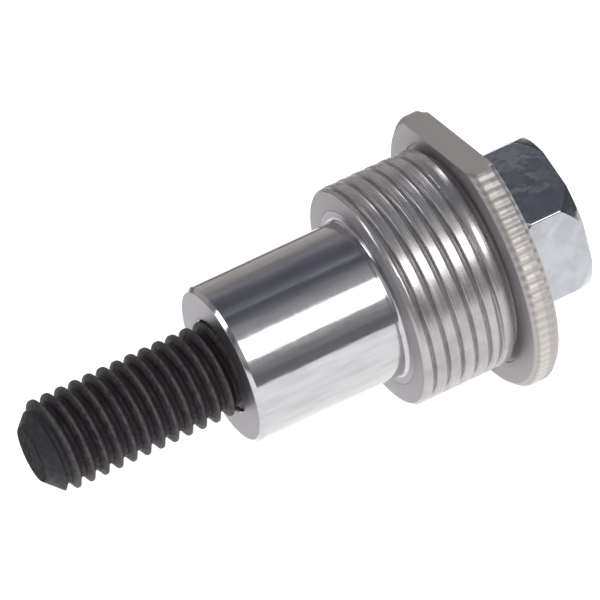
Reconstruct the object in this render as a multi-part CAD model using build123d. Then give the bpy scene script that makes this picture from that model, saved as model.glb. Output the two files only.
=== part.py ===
"""Threaded adjuster cartridge: an M8 set screw in a ground guide sleeve, pressed into a threaded bush.

The common axis is X. The origin is the centre of the flange's front face, which seats on the host.
The screw's point is at the -X end and the lock nut at the +X end. The flat on the flange faces +Z.
"""
from build123d import *
import math
import os

# Driving dimensions, in millimetres.
PRESS_GAP = 0.01            # radial gap drawn between the pressed sleeve and the bush
THREAD_GAP = 0.05           # radial clearance that stands for the fit of an M8 thread
FACE_GAP = 0.02             # axial clearance between faces that turn on each other
OVERSHOOT = 1.0             # how far a cutting tool runs past the face that it opens

BUSH_THREAD_RADIUS = 9.5    # crests of the 3/4 inch, 20 threads per inch, external thread
BUSH_LENGTH = 8.8           # from the bush's front face to the flange
BUSH_CHAMFER = 0.25
RELIEF_WIDTH = 0.7          # groove between the thread and the flange
RELIEF_RADIUS = 8.65
UNDERCUT_DEPTH = 0.1        # how far the groove is cut into the flange's front face
UNDERCUT_RADIUS = 9.65

FLANGE_RADIUS = 12.0
FLANGE_THICKNESS = 2.3
FLANGE_FLAT = 10.05         # distance of the milled flat from the axis
FRONT_CHAMFER = 0.5
REAR_CHAMFER = 0.55
KNURL_TEETH = 90
KNURL_DEPTH = 0.25

SLEEVE_RADIUS = 6.75
SLEEVE_PROJECTION = 13.4    # length of sleeve that stands out of the bush
SLEEVE_EDGE = 0.35
SLEEVE_FILLET = 0.4         # where the ground nose meets the shoulder
SLEEVE_SHANK = 7.6          # radius of the shank that is pressed into the bush
SLEEVE_COUNTERSINK = 4.25   # radius of the countersink's mouth

SCREW_RADIUS = 3.95         # crests of the M8 x 1.25 thread
SCREW_LENGTH = 45.0
SCREW_PROJECTION = 17.0     # length of screw that stands out of the sleeve
POINT_RADIUS = 2.35
SOCKET_ACROSS_FLATS = 4.0
SOCKET_DEPTH = 4.5
SOCKET_MOUTH = 0.2          # depth and width of the chamfer round the socket's mouth
SCREW_END_CHAMFER = 0.6

NUT_ACROSS_FLATS = 13.0
NUT_HEIGHT = 6.0
NUT_END_RADIUS = 6.7        # radius at which the chamfer meets the nut's end face
NUT_CHAMFER_ANGLE = 65      # from the end face, on the corners only
NUT_VERTEX_ANGLE = 30       # one corner of the nut, from +Y towards +Z
NUT_COUNTERSINK = 4.5

WASHER_RADIUS = 8.0
WASHER_HOLE = 4.2
WASHER_THICKNESS = 1.6
WASHER_POCKET = 8.3         # radius of the recess in the flange's back
WASHER_BACKING = 0.3        # clearance between the sleeve's rear end and the washer

# Positions along the axis.
bush_front = -BUSH_LENGTH
sleeve_front = bush_front - SLEEVE_PROJECTION
screw_tip = sleeve_front - SCREW_PROJECTION
screw_end = screw_tip + SCREW_LENGTH
washer_front = FLANGE_THICKNESS - WASHER_THICKNESS
sleeve_end = washer_front - WASHER_BACKING
nut_front = FLANGE_THICKNESS + FACE_GAP
nut_end = nut_front + NUT_HEIGHT
tapped_radius = SCREW_RADIUS + THREAD_GAP


def turned(points):
    """A solid of revolution about X from (x, radius) corners of its half section."""
    outline = make_face(Polyline([(x, r) for x, r in points], close=True))
    return revolve(outline, Axis.X)


def across_x(radius, start, end):
    """A plain cylinder on the axis between two stations."""
    return turned([(start, 0), (start, radius), (end, radius), (end, 0)])


def cone_x(start, start_radius, end, end_radius):
    """A cone on the axis between two stations."""
    return turned([(start, 0), (start, start_radius), (end, end_radius), (end, 0)])


def hexagon_x(across_flats, start, end, vertex_angle):
    """A hexagonal prism on the axis, with one corner at the given angle from +Y towards +Z."""
    corner = across_flats / math.sqrt(3)
    sketch = Plane.YZ.offset(start) * RegularPolygon(corner, 6, rotation=vertex_angle)
    return extrude(sketch, end - start)


def knurled_disc(start, end):
    """The flange's blank: a disc whose rim has fine V-shaped teeth along the axis."""
    points = []
    for tooth in range(KNURL_TEETH):
        for half, radius in ((0, FLANGE_RADIUS), (0.5, FLANGE_RADIUS - KNURL_DEPTH)):
            angle = 2 * math.pi * (tooth + half) / KNURL_TEETH
            points.append((radius * math.cos(angle), radius * math.sin(angle)))
    sketch = Plane.YZ.offset(start) * make_face(Polyline(points, close=True))
    return extrude(sketch, end - start)


def threaded_bush():
    """Bush body, relief groove and knurled flange with its flat, washer pocket and bore."""
    body = turned([
        (bush_front, 0),
        (bush_front, BUSH_THREAD_RADIUS - BUSH_CHAMFER),
        (bush_front + BUSH_CHAMFER, BUSH_THREAD_RADIUS),
        (-RELIEF_WIDTH, BUSH_THREAD_RADIUS),
        (-RELIEF_WIDTH, 0),
    ])
    neck = across_x(RELIEF_RADIUS, -RELIEF_WIDTH, UNDERCUT_DEPTH)
    rim_blank = turned([
        (UNDERCUT_DEPTH, 0),
        (UNDERCUT_DEPTH, UNDERCUT_RADIUS),
        (0, UNDERCUT_RADIUS),
        (0, FLANGE_RADIUS - FRONT_CHAMFER),
        (FRONT_CHAMFER, FLANGE_RADIUS),
        (FLANGE_THICKNESS - REAR_CHAMFER, FLANGE_RADIUS),
        (FLANGE_THICKNESS, FLANGE_RADIUS - REAR_CHAMFER),
        (FLANGE_THICKNESS, 0),
    ])
    flange = rim_blank & knurled_disc(0, FLANGE_THICKNESS)
    waste = Pos(FLANGE_THICKNESS / 2, 0, FLANGE_FLAT + FLANGE_RADIUS / 2) * Box(
        2 * FLANGE_THICKNESS, 3 * FLANGE_RADIUS, FLANGE_RADIUS)
    bore = across_x(SLEEVE_SHANK + PRESS_GAP, bush_front - OVERSHOOT, FLANGE_THICKNESS)
    pocket = across_x(WASHER_POCKET, washer_front - FACE_GAP, FLANGE_THICKNESS + OVERSHOOT)
    return body + neck + flange - waste - bore - pocket


def guide_sleeve():
    """Ground nose, filleted into a shoulder flush with the bush's face, and its shank; tapped through."""
    blank = turned([
        (sleeve_front, 0),
        (sleeve_front, SLEEVE_RADIUS - SLEEVE_EDGE),
        (sleeve_front + SLEEVE_EDGE, SLEEVE_RADIUS),
        (bush_front, SLEEVE_RADIUS),
        (bush_front, SLEEVE_SHANK),
        (sleeve_end - SLEEVE_EDGE, SLEEVE_SHANK),
        (sleeve_end, SLEEVE_SHANK - SLEEVE_EDGE),
        (sleeve_end, 0),
    ])
    circles = blank.edges().filter_by(GeomType.CIRCLE)
    corner = circles.filter_by(lambda edge: abs(edge.radius - SLEEVE_RADIUS) < FACE_GAP).sort_by(Axis.X)[-1]
    blank = fillet(corner, SLEEVE_FILLET)
    hole = across_x(tapped_radius, sleeve_front - OVERSHOOT, sleeve_end + OVERSHOOT)
    mouth = cone_x(sleeve_front, SLEEVE_COUNTERSINK,
                   sleeve_front + SLEEVE_COUNTERSINK - tapped_radius, tapped_radius)
    return blank - hole - mouth


def set_screw():
    """M8 socket set screw with a chamfered flat point and a hexagon socket."""
    blank = turned([
        (screw_tip, 0),
        (screw_tip, POINT_RADIUS),
        (screw_tip + SCREW_RADIUS - POINT_RADIUS, SCREW_RADIUS),
        (screw_end - SCREW_END_CHAMFER, SCREW_RADIUS),
        (screw_end, SCREW_RADIUS - SCREW_END_CHAMFER),
        (screw_end, 0),
    ])
    socket = hexagon_x(SOCKET_ACROSS_FLATS, screw_end - SOCKET_DEPTH, screw_end + OVERSHOOT, 0)
    corner = SOCKET_ACROSS_FLATS / math.sqrt(3)
    mouth = cone_x(screw_end - SOCKET_MOUTH, corner - SOCKET_MOUTH / 2,
                   screw_end, corner + SOCKET_MOUTH / 2)
    return blank - socket - mouth


def lock_nut():
    """M8 hexagon nut with both ends chamfered and both mouths countersunk."""
    corner = NUT_ACROSS_FLATS / math.sqrt(3)
    chamfer = (corner - NUT_END_RADIUS) * math.tan(math.radians(NUT_CHAMFER_ANGLE))
    envelope = turned([
        (nut_front, 0),
        (nut_front, NUT_END_RADIUS),
        (nut_front + chamfer, corner),
        (nut_end - chamfer, corner),
        (nut_end, NUT_END_RADIUS),
        (nut_end, 0),
    ])
    prism = hexagon_x(NUT_ACROSS_FLATS, nut_front, nut_end, NUT_VERTEX_ANGLE)
    hole = across_x(tapped_radius, nut_front - OVERSHOOT, nut_end + OVERSHOOT)
    depth = NUT_COUNTERSINK - tapped_radius
    front_mouth = cone_x(nut_front, NUT_COUNTERSINK, nut_front + depth, tapped_radius)
    rear_mouth = cone_x(nut_end - depth, tapped_radius, nut_end, NUT_COUNTERSINK)
    return (prism & envelope) - hole - front_mouth - rear_mouth


def nut_washer():
    """Plain washer that lies in the flange's pocket under the nut."""
    disc = across_x(WASHER_RADIUS, washer_front, FLANGE_THICKNESS)
    hole = across_x(WASHER_HOLE, washer_front - OVERSHOOT, FLANGE_THICKNESS + OVERSHOOT)
    return disc - hole


parts = {
    "threaded_bush": threaded_bush(),
    "guide_sleeve": guide_sleeve(),
    "set_screw": set_screw(),
    "nut_washer": nut_washer(),
    "lock_nut": lock_nut(),
}

os.makedirs("parts", exist_ok=True)
for name, solid in parts.items():
    export_step(solid, f"parts/{name}.step")
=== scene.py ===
"""Looks for the adjuster cartridge: real threads, knurl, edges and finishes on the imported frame.

Everything is in the part's frame: the axis is X, the screw's point is at -X, and the flange's flat faces +Z.
Shapes are worked out in millimetres, and multiplied by MM where Blender takes metres.
"""

import math

import bmesh
import bpy
import numpy as np
from mathutils import Matrix, Vector


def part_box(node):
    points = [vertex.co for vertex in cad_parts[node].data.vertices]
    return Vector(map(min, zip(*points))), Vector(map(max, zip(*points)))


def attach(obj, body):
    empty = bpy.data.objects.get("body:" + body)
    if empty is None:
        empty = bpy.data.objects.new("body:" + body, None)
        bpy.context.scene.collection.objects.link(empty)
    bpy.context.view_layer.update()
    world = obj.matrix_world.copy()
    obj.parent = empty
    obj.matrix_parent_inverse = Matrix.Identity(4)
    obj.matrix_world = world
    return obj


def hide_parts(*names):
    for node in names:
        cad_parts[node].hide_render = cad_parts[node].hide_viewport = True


MM = 0.001
TURN = 2 * math.pi

# Meshes, in metres.
MERGE_DISTANCE = 2e-7
SLIVER = 1e-7

# Threads. A phase is the station of a crest at the angle 0, which is +Y.
SCREW_PITCH = 1.25
SCREW_PHASE = -37.62
BUSH_PITCH = 1.27
BUSH_PHASE = -4.132
THREAD_FLAT = 0.07          # half width of the crest, as a share of the pitch
THREAD_FOOT = 0.34          # where the flank ends
THREAD_BOWL = 0.05          # extra depth of the rounded root
WORN_CREST = 0.29           # half width of the bush's worn crest
WORN_DEPTH = 0.36           # depth of the bush's worn groove, in millimetres
NUT_ROOT = 0.4              # depth of the thread inside the nut, in millimetres
KNURL_TEETH = 90
KNURL_DEPTH = 0.14

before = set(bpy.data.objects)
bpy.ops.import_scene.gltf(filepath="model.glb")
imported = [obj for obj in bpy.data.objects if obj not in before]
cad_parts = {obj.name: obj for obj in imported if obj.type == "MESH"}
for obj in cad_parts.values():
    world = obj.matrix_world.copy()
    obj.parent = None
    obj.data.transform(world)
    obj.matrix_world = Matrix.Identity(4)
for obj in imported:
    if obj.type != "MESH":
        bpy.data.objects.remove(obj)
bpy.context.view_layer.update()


def span(node):
    """(lowest x, highest x, largest radius) of a CAD node, in millimetres."""
    low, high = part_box(node)
    return low.x / MM, high.x / MM, max(-low.y, high.y) / MM


BUSH_START, BUSH_END, FLANGE_RADIUS = span("threaded_bush")
SLEEVE_START, SLEEVE_END, SHANK_RADIUS = span("guide_sleeve")
SCREW_START, SCREW_END, SCREW_RADIUS = span("set_screw")
WASHER_START, WASHER_END, WASHER_RADIUS = span("nut_washer")
NUT_START, NUT_END, _ = span("lock_nut")
FLANGE_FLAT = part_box("threaded_bush")[1].z / MM


# Shapes.

def smoothstep(value, low, high):
    """0 below low, 1 above high, and a smooth rise between them."""
    t = np.clip((value - low) / (high - low), 0, 1)
    return t * t * (3 - 2 * t)


def rounded(points, steps=3):
    """A polyline of (x, r, fillet radius) corners, each one that has a radius replaced by a short curve."""
    corners = [np.array(p[:2], float) for p in points]
    out = []
    for i, (x, r, fillet) in enumerate(points):
        here = corners[i]
        if not fillet or i in (0, len(points) - 1):
            out.append(here)
            continue
        back = corners[i - 1] - here
        ahead = corners[i + 1] - here
        back /= np.linalg.norm(back)
        ahead /= np.linalg.norm(ahead)
        half = math.acos(max(-1, min(1, float(back @ ahead)))) / 2
        reach = fillet / math.tan(half)
        start, end = here + back * reach, here + ahead * reach
        for k in range(steps + 1):
            t = k / steps
            out.append((1 - t) ** 2 * start + 2 * t * (1 - t) * here + t * t * end)
    return np.array(out)


def thread_depth(phase, pitch):
    """Depth below the crest of a 60 degree thread, at a phase of 0 to 1 from one crest to the next."""
    t = np.abs(phase - np.round(phase))
    flank = (np.clip(t, THREAD_FLAT, THREAD_FOOT) - THREAD_FLAT) * pitch / math.tan(math.radians(30))
    bowl = np.clip((t - THREAD_FOOT) / (0.5 - THREAD_FOOT), 0, 1)
    return flank + THREAD_BOWL * pitch * (1 - (1 - bowl) ** 2)


# The phases at which each turn of a thread is drawn.
THREAD_SAMPLES = np.array([0, 0.07, 0.16, 0.25, 0.34, 0.41, 0.5, 0.59, 0.66, 0.75, 0.84, 0.93])


def worn_depth(phase):
    """Depth of the bush's thread below its crest: wide flat crests and soft, narrow grooves."""
    t = np.abs(phase - np.round(phase))
    return WORN_DEPTH * smoothstep(t, WORN_CREST, 0.5)


WORN_SAMPLES = np.array([0, 0.14, 0.27, 0.31, 0.34, 0.37, 0.4, 0.43, 0.46, 0.5,
                         0.54, 0.57, 0.6, 0.63, 0.66, 0.69, 0.73, 0.86])


def helix(angle, start, end, pitch, phase, radius, samples=THREAD_SAMPLES):
    """(x, r) points along a right-hand thread from start to end, at an angle round the axis.

    radius(x, t) gives the radius at a station and a thread phase t. Points past an end lie on that end.
    """
    crest = phase + pitch * angle / TURN
    first = math.floor((start - phase) / pitch) - 2
    last = math.ceil((end - phase) / pitch) + 1
    turns = np.arange(first, last + 1)[:, None] + samples[None, :]
    x = np.clip(crest + pitch * turns.ravel(), start, end)
    return np.stack([x, radius(x, (x - crest) / pitch)], axis=1)


def mesh_object(name, points, faces, sharp=32):
    """A closed mesh with doubled points merged and edges above the angle kept sharp."""
    mesh = bpy.data.meshes.new(name)
    mesh.from_pydata((points * MM).tolist(), [], faces)
    edit = bmesh.new()
    edit.from_mesh(mesh)
    bmesh.ops.remove_doubles(edit, verts=edit.verts, dist=MERGE_DISTANCE)
    bmesh.ops.dissolve_degenerate(edit, edges=edit.edges, dist=SLIVER)
    bmesh.ops.recalc_face_normals(edit, faces=edit.faces)
    edit.to_mesh(mesh)
    edit.free()
    mesh.shade_smooth()
    mesh.set_sharp_from_angle(angle=math.radians(sharp))
    piece = bpy.data.objects.new(name, mesh)
    bpy.context.scene.collection.objects.link(piece)
    return piece


def swept(name, profile, angles, sharp=32):
    """A piece swept round the X axis. profile(angle) gives the same number of (x, r) points each time."""
    columns = [profile(angle) for angle in angles]
    points = []
    for angle, column in zip(angles, columns):
        x, r = column[:, 0], column[:, 1]
        points.append(np.stack([x, r * math.cos(angle), r * math.sin(angle)], axis=1))
    count = len(columns[0])
    faces = []
    for i in range(len(angles) - 1):
        a, b = i * count, (i + 1) * count
        faces += [(a + j, a + j + 1, b + j + 1, b + j) for j in range(count - 1)]
    return mesh_object(name, np.concatenate(points), faces, sharp)


def circle(steps):
    """Angles from 0 to a full turn."""
    return [TURN * i / steps for i in range(steps + 1)]


# The threaded bush: body, thread that runs out into a land, relief groove, and knurled flange with its flat.

BUSH_FACE = 9.25            # radius of the front face, inside the chamfer
THREAD_MAJOR = 9.5
LAND_START = -1.2
FADE_START = LAND_START - 0.5     # the thread fades out before the land
FADE_END = LAND_START - 0.1
RUNOUT = -1.65              # the ring groove where the thread ends
RUNOUT_DEPTH = 0.16
RUNOUT_WIDTH = 0.2
RELIEF_START = -0.66
RELIEF_RADIUS = 8.65
UNDERCUT_RADIUS = 9.65
UNDERCUT_DEPTH = 0.1
BORE = SHANK_RADIUS + 0.01
POCKET_RADIUS = 8.3
POCKET_FLOOR = WASHER_START - 0.02
FRONT_CHAMFER = 0.5
REAR_CHAMFER = 0.5
BUSH_SEAM = BUSH_START + 0.5      # where the bush's outline starts and ends, in its bore


def bush_radius(x, t):
    """Radius of the bush's thread: chamfered at the front, fading out into the land at the back."""
    fade = 1 - smoothstep(x, FADE_START, FADE_END)
    crest = np.minimum(THREAD_MAJOR, BUSH_FACE + x - BUSH_START)
    runout = RUNOUT_DEPTH * np.exp(-((x - RUNOUT) / RUNOUT_WIDTH) ** 2)
    return np.minimum(crest, THREAD_MAJOR - np.maximum(fade * worn_depth(t), runout))


def flange_limit(angle):
    """Radius of the rim at an angle: the knurl's teeth, cut off by the flat."""
    tooth = 0.5 + 0.5 * math.cos(KNURL_TEETH * angle)
    knurl = FLANGE_RADIUS - KNURL_DEPTH * (1 - tooth)
    height = math.sin(angle)
    return min(knurl, FLANGE_FLAT / height) if height > 0 else knurl


def bush_profile(angle):
    """Outline of the bush, from its bore round the front, along the thread and round the flange."""
    front = rounded([(BUSH_SEAM, BORE, 0), (BUSH_START, BORE, 0.04), (BUSH_START, BUSH_FACE, 0)])
    thread = helix(angle, BUSH_START, LAND_START, BUSH_PITCH, BUSH_PHASE, bush_radius, WORN_SAMPLES)
    limit = flange_limit(angle)
    flange = rounded([
        (LAND_START, THREAD_MAJOR, 0),
        (RELIEF_START, THREAD_MAJOR, 0.06),
        (RELIEF_START, RELIEF_RADIUS, 0.1),
        (UNDERCUT_DEPTH, RELIEF_RADIUS, 0.08),
        (UNDERCUT_DEPTH, UNDERCUT_RADIUS, 0.03),
        (0, UNDERCUT_RADIUS, 0.03),
        (0, FLANGE_RADIUS - FRONT_CHAMFER, 0.08),
        (FRONT_CHAMFER, FLANGE_RADIUS, 0.08),
        (BUSH_END - REAR_CHAMFER, FLANGE_RADIUS, 0.12),
        (BUSH_END, FLANGE_RADIUS - REAR_CHAMFER, 0.12),
        (BUSH_END, POCKET_RADIUS, 0.1),
        (POCKET_FLOOR, POCKET_RADIUS, 0.1),
        (POCKET_FLOOR, BORE, 0.1),
        (BUSH_SEAM, BORE, 0),
    ])
    flange[:, 1] = np.minimum(flange[:, 1], limit)
    return np.concatenate([front, thread, flange])


bush = swept("bush_threaded_body", bush_profile, circle(8 * KNURL_TEETH), sharp=40)

# The guide sleeve: ground nose with a countersunk mouth, filleted into its shoulder, and the pressed shank.

NOSE_RADIUS = 6.75
SLEEVE_EDGE = 0.35
SLEEVE_FILLET = 0.4
MOUTH_RADIUS = 4.1
SLEEVE_BORE = SCREW_RADIUS + 0.05


def sleeve_profile(angle):
    """Outline of the sleeve, the same at every angle."""
    return rounded([
        (SLEEVE_END, SLEEVE_BORE, 0),
        (SLEEVE_START + MOUTH_RADIUS - SLEEVE_BORE, SLEEVE_BORE, 0.05),
        (SLEEVE_START, MOUTH_RADIUS, 0.06),
        (SLEEVE_START, NOSE_RADIUS - SLEEVE_EDGE, 0.1),
        (SLEEVE_START + SLEEVE_EDGE, NOSE_RADIUS, 0.12),
        (BUSH_START, NOSE_RADIUS, SLEEVE_FILLET),
        (BUSH_START, SHANK_RADIUS, 0.04),
        (SLEEVE_END - SLEEVE_EDGE, SHANK_RADIUS, 0.1),
        (SLEEVE_END, SHANK_RADIUS - SLEEVE_EDGE, 0.1),
        (SLEEVE_END, SLEEVE_BORE, 0),
    ], steps=6)


sleeve = swept("sleeve_ground_body", sleeve_profile, circle(192))

# The set screw: chamfered point, full-length thread, hexagon socket.

POINT_RADIUS = 2.35
SOCKET_FLATS = 4.0
SOCKET_DEPTH = 4.5
SOCKET_MOUTH = 0.2          # depth of the chamfer round the socket's mouth
SOCKET_RAMP = 0.6           # how much deeper it reaches at a flat, for each millimetre nearer the axis
SOCKET_EDGE = 0.1
DRILL_POINT = 0.8           # depth of the cone at the socket's bottom
END_CHAMFER = 0.6
DIMPLE_RADIUS = 0.6         # a shallow dimple in the point's face
DIMPLE_DEPTH = 0.05
POINT_EDGE = 0.1


def screw_radius(x, t):
    """Radius of the set screw's thread, inside the chamfers of its two ends."""
    point = POINT_RADIUS + x - SCREW_START
    end = SCREW_RADIUS - END_CHAMFER + SCREW_END - x
    return np.minimum(np.minimum(point, end), SCREW_RADIUS - thread_depth(t, SCREW_PITCH))


def socket_radius(angle):
    """Distance from the axis to the socket's wall."""
    off = (angle + TURN / 12) % (TURN / 6) - TURN / 12
    return SOCKET_FLATS / 2 / math.cos(off)


def screw_profile(angle):
    """Outline of the screw, from the axis at its point to the axis at the socket's bottom."""
    tip = np.array([(SCREW_START + DIMPLE_DEPTH, 0), (SCREW_START, DIMPLE_RADIUS),
                    (SCREW_START, POINT_RADIUS - POINT_EDGE)])
    thread = helix(angle, SCREW_START, SCREW_END, SCREW_PITCH, SCREW_PHASE, screw_radius)
    wall = socket_radius(angle)
    corner = SOCKET_FLATS / math.sqrt(3)
    socket = np.array([
        (SCREW_END, corner + SOCKET_EDGE),
        (SCREW_END - SOCKET_MOUTH - (corner - wall) * SOCKET_RAMP, wall),
        (SCREW_END - SOCKET_DEPTH, wall),
        (SCREW_END - SOCKET_DEPTH - DRILL_POINT, 0),
    ])
    return np.concatenate([tip, thread, socket])


screw = swept("screw_threaded_stud", screw_profile, circle(144))

# The lock nut: hexagon with rounded corners, chamfered ends, countersunk and threaded bore.

NUT_APOTHEM = 6.5
NUT_EDGE = 0.16
NUT_FACE_RADIUS = 6.7       # the chamfer only takes the corners off
NUT_CHAMFER_SLOPE = math.tan(math.radians(65))
NUT_LEAST_CUT = 0.05        # radial width of the chamfer along the flats
NUT_BLEND = 0.12            # largest rounding of the chamfer's edges
NUT_BLEND_SHARE = 0.4
NUT_CORNER_SPREAD = 0.05    # half angle, in radians, that is drawn finely at each corner
NUT_CORNER_ANGLE = math.radians(30)
NUT_MOUTH = 4.5
NUT_BORE = SCREW_RADIUS + 0.05
SIXTH = TURN / 6


def hexagon_radius(angle):
    """Radius of the nut's outline: flat sides joined by small arcs at the corners."""
    off = abs((angle - NUT_CORNER_ANGLE) % SIXTH - SIXTH / 2)
    centre = (NUT_APOTHEM - NUT_EDGE) / math.cos(SIXTH / 2)
    if off <= math.atan((NUT_APOTHEM - NUT_EDGE) * math.tan(SIXTH / 2) / NUT_APOTHEM):
        return NUT_APOTHEM / math.cos(off)
    away = SIXTH / 2 - off
    return centre * math.cos(away) + math.sqrt(NUT_EDGE ** 2 - (centre * math.sin(away)) ** 2)


def nut_radius(x, t):
    """Radius of the nut's bore: shallow thread grooves, opening into the countersinks."""
    mouth = NUT_MOUTH - np.minimum(x - NUT_START, NUT_END - x)
    groove = np.clip(NUT_ROOT - thread_depth(t, SCREW_PITCH), 0, NUT_ROOT)
    return np.maximum(NUT_BORE + groove, mouth)


def nut_profile(angle):
    """Outline of the nut: the outside, then back along its threaded bore."""
    reach = hexagon_radius(angle)
    cut = max(reach - NUT_FACE_RADIUS, NUT_LEAST_CUT)
    chamfer = cut * NUT_CHAMFER_SLOPE
    blend = min(NUT_BLEND, NUT_BLEND_SHARE * cut)
    outside = rounded([
        (NUT_START, NUT_MOUTH, 0),
        (NUT_START, reach - cut, blend),
        (NUT_START + chamfer, reach, blend),
        (NUT_END - chamfer, reach, blend),
        (NUT_END, reach - cut, blend),
        (NUT_END, NUT_MOUTH, 0),
    ])
    bore = helix(angle, NUT_START, NUT_END, SCREW_PITCH, SCREW_PHASE, nut_radius)[::-1]
    return np.concatenate([outside, bore])


side_angles = np.concatenate([
    np.linspace(0, NUT_CORNER_SPREAD, 7)[:-1],
    np.linspace(NUT_CORNER_SPREAD, SIXTH - NUT_CORNER_SPREAD, 15),
    np.linspace(SIXTH - NUT_CORNER_SPREAD, SIXTH, 7)[1:-1],
])
nut_angles = [NUT_CORNER_ANGLE + SIXTH * side + off for side in range(6) for off in side_angles]
nut = swept("nut_hexagon", nut_profile, nut_angles + [NUT_CORNER_ANGLE + TURN])

# The washer in the flange's pocket.

WASHER_HOLE = 4.2
WASHER_SEAM = WASHER_START + 0.8  # where its outline starts and ends, in its hole


def washer_profile(angle):
    """Outline of the washer, the same at every angle."""
    return rounded([
        (WASHER_SEAM, WASHER_HOLE, 0),
        (WASHER_START, WASHER_HOLE, 0.1),
        (WASHER_START, WASHER_RADIUS, 0.15),
        (WASHER_END, WASHER_RADIUS, 0.15),
        (WASHER_END, WASHER_HOLE, 0.1),
        (WASHER_SEAM, WASHER_HOLE, 0),
    ])


washer = swept("washer_plain", washer_profile, circle(96))


# Finishes.

class Graph:
    """The nodes of a material or a world, with short ways to add and join them."""

    def __init__(self, tree):
        self.nodes = tree.nodes
        self.links = tree.links

    def plug(self, value, socket):
        """Put a number, three numbers or another node's output into a socket."""
        if isinstance(value, (int, float)):
            socket.default_value = value
        elif isinstance(value, tuple):
            socket.default_value = (*value, 1)
        else:
            self.links.new(value, socket)

    def maths(self, operation, *values):
        """A maths node on numbers and sockets."""
        node = self.nodes.new("ShaderNodeMath")
        node.operation = operation
        for socket, value in zip(node.inputs, values):
            self.plug(value, socket)
        return node.outputs[0]

    def vector(self, x, y, z):
        """Three numbers or sockets joined into one vector or grey colour."""
        node = self.nodes.new("ShaderNodeCombineXYZ")
        for socket, value in zip(node.inputs, (x, y, z)):
            self.plug(value, socket)
        return node.outputs[0]

    def split(self, name):
        """The three parts of a texture coordinate."""
        self.where = self.nodes.new("ShaderNodeTexCoord").outputs[name]
        parts = self.nodes.new("ShaderNodeSeparateXYZ")
        self.links.new(self.where, parts.inputs[0])
        return tuple(parts.outputs[k] for k in range(3))

    def noise(self, where, scale, detail=3):
        """Smooth noise of about 0.3 to 0.7, with scale cells to the metre."""
        node = self.nodes.new("ShaderNodeTexNoise")
        node.inputs["Scale"].default_value = scale
        node.inputs["Detail"].default_value = detail
        self.links.new(where, node.inputs["Vector"])
        return node.outputs[0]

    def spread(self, value, low, high, to_low=0, to_high=1):
        """value's range low to high, carried over to to_low to to_high, and clamped."""
        node = self.nodes.new("ShaderNodeMapRange")
        node.interpolation_type = "SMOOTHSTEP"
        self.links.new(value, node.inputs["Value"])
        limits = {"From Min": low, "From Max": high, "To Min": to_low, "To Max": to_high}
        for name, number in limits.items():
            node.inputs[name].default_value = number
        return node.outputs[0]

    def times(self, first, second):
        """The product of two numbers or sockets."""
        return self.maths("MULTIPLY", first, second)

    def blend(self, share, first, second):
        """A colour between two, each either three numbers or a socket."""
        node = self.nodes.new("ShaderNodeMix")
        node.data_type = "RGBA"
        self.plug(share, node.inputs["Factor"])
        self.plug(first, node.inputs[6])
        self.plug(second, node.inputs[7])
        return node.outputs[2]


class Finish(Graph):
    """A surface with its pattern laid out by station, radius and angle about the axis."""

    def __init__(self, name, colour, roughness, metallic=1.0):
        self.material = bpy.data.materials.new(name)
        self.material.use_nodes = True
        super().__init__(self.material.node_tree)
        self.shader = self.nodes["Principled BSDF"]
        self.plug(colour, self.shader.inputs["Base Color"])
        self.plug(roughness, self.shader.inputs["Roughness"])
        self.plug(metallic, self.shader.inputs["Metallic"])
        self.x, self.y, self.z = self.split("Object")
        self.radius = self.maths("SQRT", self.maths(
            "ADD", self.times(self.y, self.y), self.times(self.z, self.z)))
        self.angle = self.maths("ARCTAN2", self.z, self.y)

    def rings(self, across, around):
        """Noise drawn out into rings round the axis: fine in station and radius, slow round the angle."""
        return self.noise(self.vector(
            self.times(self.x, across / MM),
            self.times(self.radius, across / MM),
            self.times(self.angle, around)), 1, 4)

    def streaks(self, across, along):
        """Noise drawn out into streaks along the axis."""
        return self.noise(self.vector(
            self.times(self.x, along / MM),
            self.times(self.y, across / MM),
            self.times(self.z, across / MM)), 1, 4)

    def above(self, value, low, high):
        """1 where a length is above high millimetres, 0 below low, and smooth between."""
        return self.spread(value, low * MM, high * MM)

    def below(self, value, low, high):
        """1 where a length is below low millimetres, 0 above high, and smooth between."""
        return self.spread(value, low * MM, high * MM, 1, 0)

    def colour(self, socket):
        """Take the base colour from a socket."""
        self.links.new(socket, self.shader.inputs["Base Color"])

    def roughness(self, socket):
        """Take the roughness from a socket."""
        self.links.new(socket, self.shader.inputs["Roughness"])

    def bump(self, height, depth):
        """Bump by a height of 0 to 1 that stands for depth millimetres."""
        node = self.nodes.new("ShaderNodeBump")
        node.inputs["Strength"].default_value = 1
        node.inputs["Distance"].default_value = depth * MM
        self.links.new(height, node.inputs["Height"])
        self.links.new(node.outputs[0], self.shader.inputs["Normal"])

    def anisotropy(self, amount):
        """Highlights drawn out across the marks that a lathe leaves."""
        tangent = self.nodes.new("ShaderNodeTangent")
        tangent.direction_type = "RADIAL"
        tangent.axis = "X"
        self.shader.inputs["Anisotropic"].default_value = amount
        self.links.new(tangent.outputs[0], self.shader.inputs["Tangent"])


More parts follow.
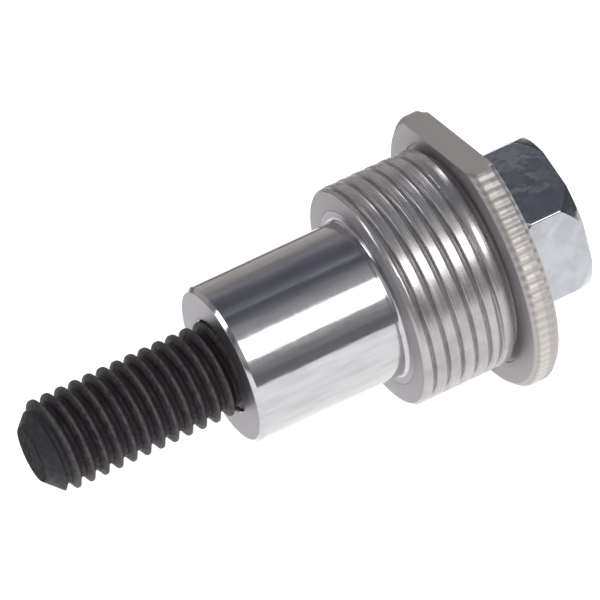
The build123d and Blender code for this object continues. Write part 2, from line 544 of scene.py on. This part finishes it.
def turned_steel():
    """Lathe marks, duller end faces, a bright knurl with painted shade in its valleys, and a satin milled
    flat.
    """
    finish = Finish("turned_steel_finish", (0.37, 0.35, 0.36), 0.25, metallic=0.75)
    marks = finish.rings(9, 0.8)
    patches = finish.spread(finish.noise(finish.where, 500), 0.35, 0.7)
    dull = finish.blend(patches, (0.5, 0.48, 0.48), (0.41, 0.39, 0.39))
    front = finish.below(finish.x, BUSH_START + 0.01, BUSH_START + 0.04)
    seat = finish.times(finish.above(finish.x, -0.02, -0.01), finish.below(finish.x, 0.11, 0.13))
    face = finish.maths("MAXIMUM", front, seat)
    metal = finish.blend(face, dull, (0.43, 0.41, 0.425))
    rim = finish.above(finish.radius, FLANGE_RADIUS - 0.6, FLANGE_RADIUS - 0.3)
    # Painted shade: the knurl's colour goes from pale at the tooth tops to darker down in its valleys.
    tooth = finish.above(finish.radius, FLANGE_RADIUS - 2 * KNURL_DEPTH, FLANGE_RADIUS)
    knurl = finish.blend(tooth, (0.45, 0.42, 0.39), (0.68, 0.64, 0.61))
    bright_half = finish.times(finish.above(finish.x, 0.15, 0.3), finish.below(finish.x, 1.1, 1.3))
    metal = finish.blend(rim, metal, finish.blend(bright_half, (0.52, 0.49, 0.48), knurl))
    flat = finish.above(finish.z, FLANGE_FLAT - 0.03, FLANGE_FLAT - 0.01)
    finish.colour(finish.blend(flat, metal, (0.46, 0.44, 0.42)))
    grain = finish.spread(marks, 0.3, 0.7, 0.19, 0.33)
    satin = finish.maths("MAXIMUM", finish.maths("MAXIMUM", flat, rim), face)
    finish.roughness(finish.maths("ADD", grain, finish.times(satin, 0.26)))
    finish.bump(marks, 0.01)
    finish.anisotropy(0.4)
    return finish.material


def ground_steel():
    """Bright ground cylinder, with rougher turned end faces painted darker as shade."""
    finish = Finish("ground_steel_finish", (0.55, 0.545, 0.55), 0.1)
    marks = finish.rings(14, 0.5)
    smears = finish.spread(finish.streaks(1.6, 0.25), 0.35, 0.7)
    bright = finish.blend(smears, (0.575, 0.57, 0.575), (0.5, 0.49, 0.5))
    front = finish.below(finish.x, SLEEVE_START + 0.01, SLEEVE_START + 0.06)
    shoulder = finish.above(finish.radius, NOSE_RADIUS + 0.1, NOSE_RADIUS + 0.35)
    face = finish.maths("MAXIMUM", front, shoulder)
    # Painted shade: the front face and the faces above the nose's radius get a darker colour than the
    # cylinder; their extra roughness is the turned finish.
    finish.colour(finish.blend(face, bright, (0.35, 0.335, 0.355)))
    ground = finish.spread(marks, 0.3, 0.75, 0.07, 0.16)
    finish.roughness(finish.maths("ADD", ground, finish.times(face, 0.3)))
    finish.bump(finish.maths("ADD", marks, smears), 0.002)
    return finish.material


def black_oxide():
    """Oiled black oxide: black grooves, worn paler crests, and a smooth point whose end face is rougher and
    painted darker as shade.
    """
    finish = Finish("black_oxide_finish", (0.04, 0.034, 0.04), 0.6, metallic=0.1)
    crest = finish.above(finish.radius, SCREW_RADIUS - 0.3, SCREW_RADIUS)
    flank = finish.above(finish.radius, SCREW_RADIUS - 0.6, SCREW_RADIUS - 0.4)
    threaded = finish.above(finish.x, SCREW_START + 1.7, SCREW_START + 1.9)
    tip = finish.below(finish.x, SCREW_START + 0.02, SCREW_START + 0.06)
    grain = finish.spread(finish.noise(finish.where, 2200, 4), 0.35, 0.65)
    cloud = finish.spread(finish.noise(finish.where, 700, 3), 0.35, 0.65)
    oxide = finish.blend(cloud, (0.034, 0.024, 0.036), (0.04, 0.034, 0.028))
    oxide = finish.blend(grain, oxide, (0.062, 0.05, 0.06))
    oxide = finish.blend(threaded, (0.026, 0.027, 0.031), oxide)
    groove = finish.times(finish.maths("SUBTRACT", 1, flank), threaded)
    oxide = finish.blend(groove, oxide, (0.012, 0.01, 0.012))
    patch = finish.times(finish.maths("ADD", 0.2, grain), finish.maths("ADD", 0.4, cloud))
    worn = finish.times(finish.times(crest, threaded), patch)
    oxide = finish.blend(worn, oxide, (0.095, 0.084, 0.09))
    # Painted shade: the point's end face is made nearly black; its extra roughness is the duller face.
    finish.colour(finish.blend(tip, oxide, (0.006, 0.005, 0.007)))
    finish.roughness(finish.maths("ADD", finish.spread(grain, 0, 1, 0.5, 0.7), finish.times(tip, 0.3)))
    finish.shader.inputs["Specular IOR Level"].default_value = 0.35
    finish.bump(grain, 0.02)
    return finish.material


def zinc_plate():
    """Bright zinc over a slightly uneven surface."""
    finish = Finish("zinc_plate_finish", (0.46, 0.47, 0.49), 0.2)
    cloud = finish.spread(finish.noise(finish.where, 700, 4), 0.35, 0.65)
    finish.colour(finish.blend(cloud, (0.5, 0.51, 0.53), (0.44, 0.45, 0.475)))
    finish.roughness(finish.spread(cloud, 0, 1, 0.12, 0.22))
    finish.bump(finish.noise(finish.where, 600, 2), 0.09)
    return finish.material


for piece, node, body, slot, material in (
    (bush, "threaded_bush", "bush", "turned_steel", turned_steel()),
    (sleeve, "guide_sleeve", "bush", "ground_steel", ground_steel()),
    (screw, "set_screw", "screw", "black_oxide", black_oxide()),
    (nut, "lock_nut", "nut", "zinc_plate", zinc_plate()),
    (washer, "nut_washer", "washer", "zinc_plate", zinc_plate()),
):
    piece.data.materials.append(material)
    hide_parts(node)
    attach(piece, body)


# Studio: white paper under the part on a grey table, and a surround whose light changes with its height.

FLOOR_SIZE = 6.0            # half of the floor's side, in metres
FLOOR_GLOW = 0.6
PAPER = (0.85, 0.85, 0.85)
TABLE = (0.34, 0.34, 0.36)
PAPER_FRONT = (-58, -47)    # the stretch over which the paper starts, in front of the part
PAPER_BACK = (92, 110)      # the stretch over which it ends behind the part

KEY = 4.0                   # strength of the bright band
KEY_START = (20, 28)        # degrees over which the band comes up
KEY_END = (46.5, 53)        # degrees over which it goes down
KEY_SIDE = (-0.1, 0.12)     # share of +X in the direction over which the band comes up
POINT_SIDE = (-0.25, 0.1)   # the same for the light beyond the screw's point, which is a little dimmer
POINT_LIGHT = 0.95
NUT_SIDE = (0.42, 0.56)     # the same for the dark beyond the nut's end
NUT_DARK = (0.08, 0.082, 0.09)
GLINTS = ((-0.83, 0.3, 0.475), (0.5, 0.459, 0.734))      # directions of two small lamps
GLINT_EDGE = (10, 6)        # degrees from a lamp's centre
GLINT = 4

# Degrees above the front horizon, up and over to the back one, and the light there.
BANDS = [
    (0, (0.22, 0.22, 0.24)),
    (8, (0.24, 0.24, 0.25)),
    (16, (0.4, 0.4, 0.41)),
    (52, (0.5, 0.5, 0.51)),
    (60, (0.36, 0.36, 0.38)),
    (70, (0.27, 0.27, 0.29)),
    (77, (0.16, 0.165, 0.185)),
    (83, (0.11, 0.115, 0.14)),
    (88, (0.09, 0.095, 0.12)),
    (93, (0.24, 0.245, 0.265)),
    (98, (0.15, 0.155, 0.18)),
    (104, (0.105, 0.107, 0.135)),
    (118, (0.105, 0.107, 0.135)),
    (132, (0.23, 0.225, 0.255)),
    (144, (0.24, 0.235, 0.24)),
    (153, (0.36, 0.35, 0.34)),
    (170, (0.43, 0.41, 0.4)),
    (180, (0.48, 0.46, 0.44)),
]


def pale_floor():
    """White paper under the part, which ends in front of it and behind it on a grey table."""
    mesh = bpy.data.meshes.new("studio_floor")
    low = -FLANGE_RADIUS * MM
    mesh.from_pydata([(-FLOOR_SIZE, -FLOOR_SIZE, low), (FLOOR_SIZE, -FLOOR_SIZE, low),
                      (FLOOR_SIZE, FLOOR_SIZE, low), (-FLOOR_SIZE, FLOOR_SIZE, low)],
                     [], [(0, 1, 2, 3)])
    floor = bpy.data.objects.new("studio_floor", mesh)
    bpy.context.scene.collection.objects.link(floor)
    paper = Finish("studio_floor_paper", PAPER, 1.0, metallic=0.0)
    sheet = paper.times(paper.above(paper.y, *PAPER_FRONT), paper.below(paper.y, *PAPER_BACK))
    paper.colour(paper.blend(sheet, TABLE, PAPER))
    paper.shader.inputs["Specular IOR Level"].default_value = 0
    paper.plug((1, 1, 1), paper.shader.inputs["Emission Color"])
    paper.plug(paper.times(sheet, FLOOR_GLOW), paper.shader.inputs["Emission Strength"])
    mesh.materials.append(paper.material)


def glint(light, direction):
    """A small round lamp in a direction."""
    near = light.nodes.new("ShaderNodeVectorMath")
    near.operation = "DOT_PRODUCT"
    light.links.new(light.where, near.inputs[0])
    near.inputs[1].default_value = direction
    edge, core = (math.cos(math.radians(degrees)) for degrees in GLINT_EDGE)
    return light.spread(near.outputs["Value"], edge, core, 0, GLINT)


def surround():
    """World light: BANDS round the X axis, a bright key band, a dark nut's side and two glints."""
    world = bpy.data.worlds.new("studio_surround")
    bpy.context.scene.world = world
    world.use_nodes = True
    light = Graph(world.node_tree)
    x, y, z = light.split("Generated")
    angle = light.maths("ARCTAN2", z, light.times(y, -1))
    ramp = light.nodes.new("ShaderNodeValToRGB")
    light.links.new(light.maths("DIVIDE", angle, math.pi), ramp.inputs[0])
    while len(ramp.color_ramp.elements) < len(BANDS):
        ramp.color_ramp.elements.new(0.5)
    for element, (degrees, colour) in zip(ramp.color_ramp.elements, BANDS):
        element.position = degrees / 180
        element.color = (*colour, 1)
    start, end = ([math.radians(degrees) for degrees in limits] for limits in (KEY_START, KEY_END))
    band = light.times(light.spread(angle, *start), light.spread(angle, *end, 1, 0))
    beyond = light.spread(x, *NUT_SIDE)
    key = light.times(light.times(band, light.spread(x, *KEY_SIDE)), light.maths("SUBTRACT", 1, beyond))
    shaded = light.blend(light.spread(x, *POINT_SIDE, POINT_LIGHT, 1), (0, 0, 0), ramp.outputs[0])
    lamps = light.times(key, KEY)
    for direction in GLINTS:
        lamps = light.maths("ADD", lamps, glint(light, direction))
    total = light.nodes.new("ShaderNodeVectorMath")
    total.operation = "ADD"
    light.links.new(light.blend(beyond, shaded, NUT_DARK), total.inputs[0])
    light.links.new(light.vector(lamps, lamps, lamps), total.inputs[1])
    light.links.new(total.outputs[0], light.nodes["Background"].inputs["Color"])
    light.nodes["Background"].inputs["Strength"].default_value = 1


pale_floor()
surround()

# Camera: from the point's side, above, rolled so that the axis rises to the right.

VIEW_TILT = 0.27            # sine of the angle between the view and the plane across the axis
VIEW_ABOVE = math.radians(32)     # height of the view round the axis, above the front
AXIS_RISE = math.radians(25)      # slope of the axis in the picture
TARGET_STATION = -13.9      # the picture's centre is drawn square off this point of the axis
TARGET_RISE = 2.1           # and this far above it
DISTANCE = 0.45             # in metres
FOCAL_LENGTH = 337.5        # in millimetres
SENSOR = 36                 # width in millimetres
EXPOSURE = 0.3

across = Vector((0, -math.cos(VIEW_ABOVE), math.sin(VIEW_ABOVE)))
along = Vector((1, 0, 0))
flat_share = math.sqrt(1 - VIEW_TILT ** 2)
back = -VIEW_TILT * along + flat_share * across
drawn_axis = flat_share * along + VIEW_TILT * across      # the axis, as it's drawn in the picture
down = drawn_axis.cross(back)
right = math.cos(AXIS_RISE) * drawn_axis + math.sin(AXIS_RISE) * down
up = back.cross(right)
target = Vector((TARGET_STATION, 0, 0)) * MM - TARGET_RISE * MM * down
place = target + DISTANCE * back
camera_data = bpy.data.cameras.new("camera")
camera_data.sensor_width = SENSOR
camera_data.lens = FOCAL_LENGTH
camera = bpy.data.objects.new("camera", camera_data)
camera.matrix_world = Matrix((right, up, back)).transposed().to_4x4()
camera.matrix_world.translation = place
bpy.context.scene.collection.objects.link(camera)
bpy.context.scene.camera = camera
bpy.context.scene.view_settings.view_transform = "Standard"
bpy.context.scene.view_settings.exposure = EXPOSURE
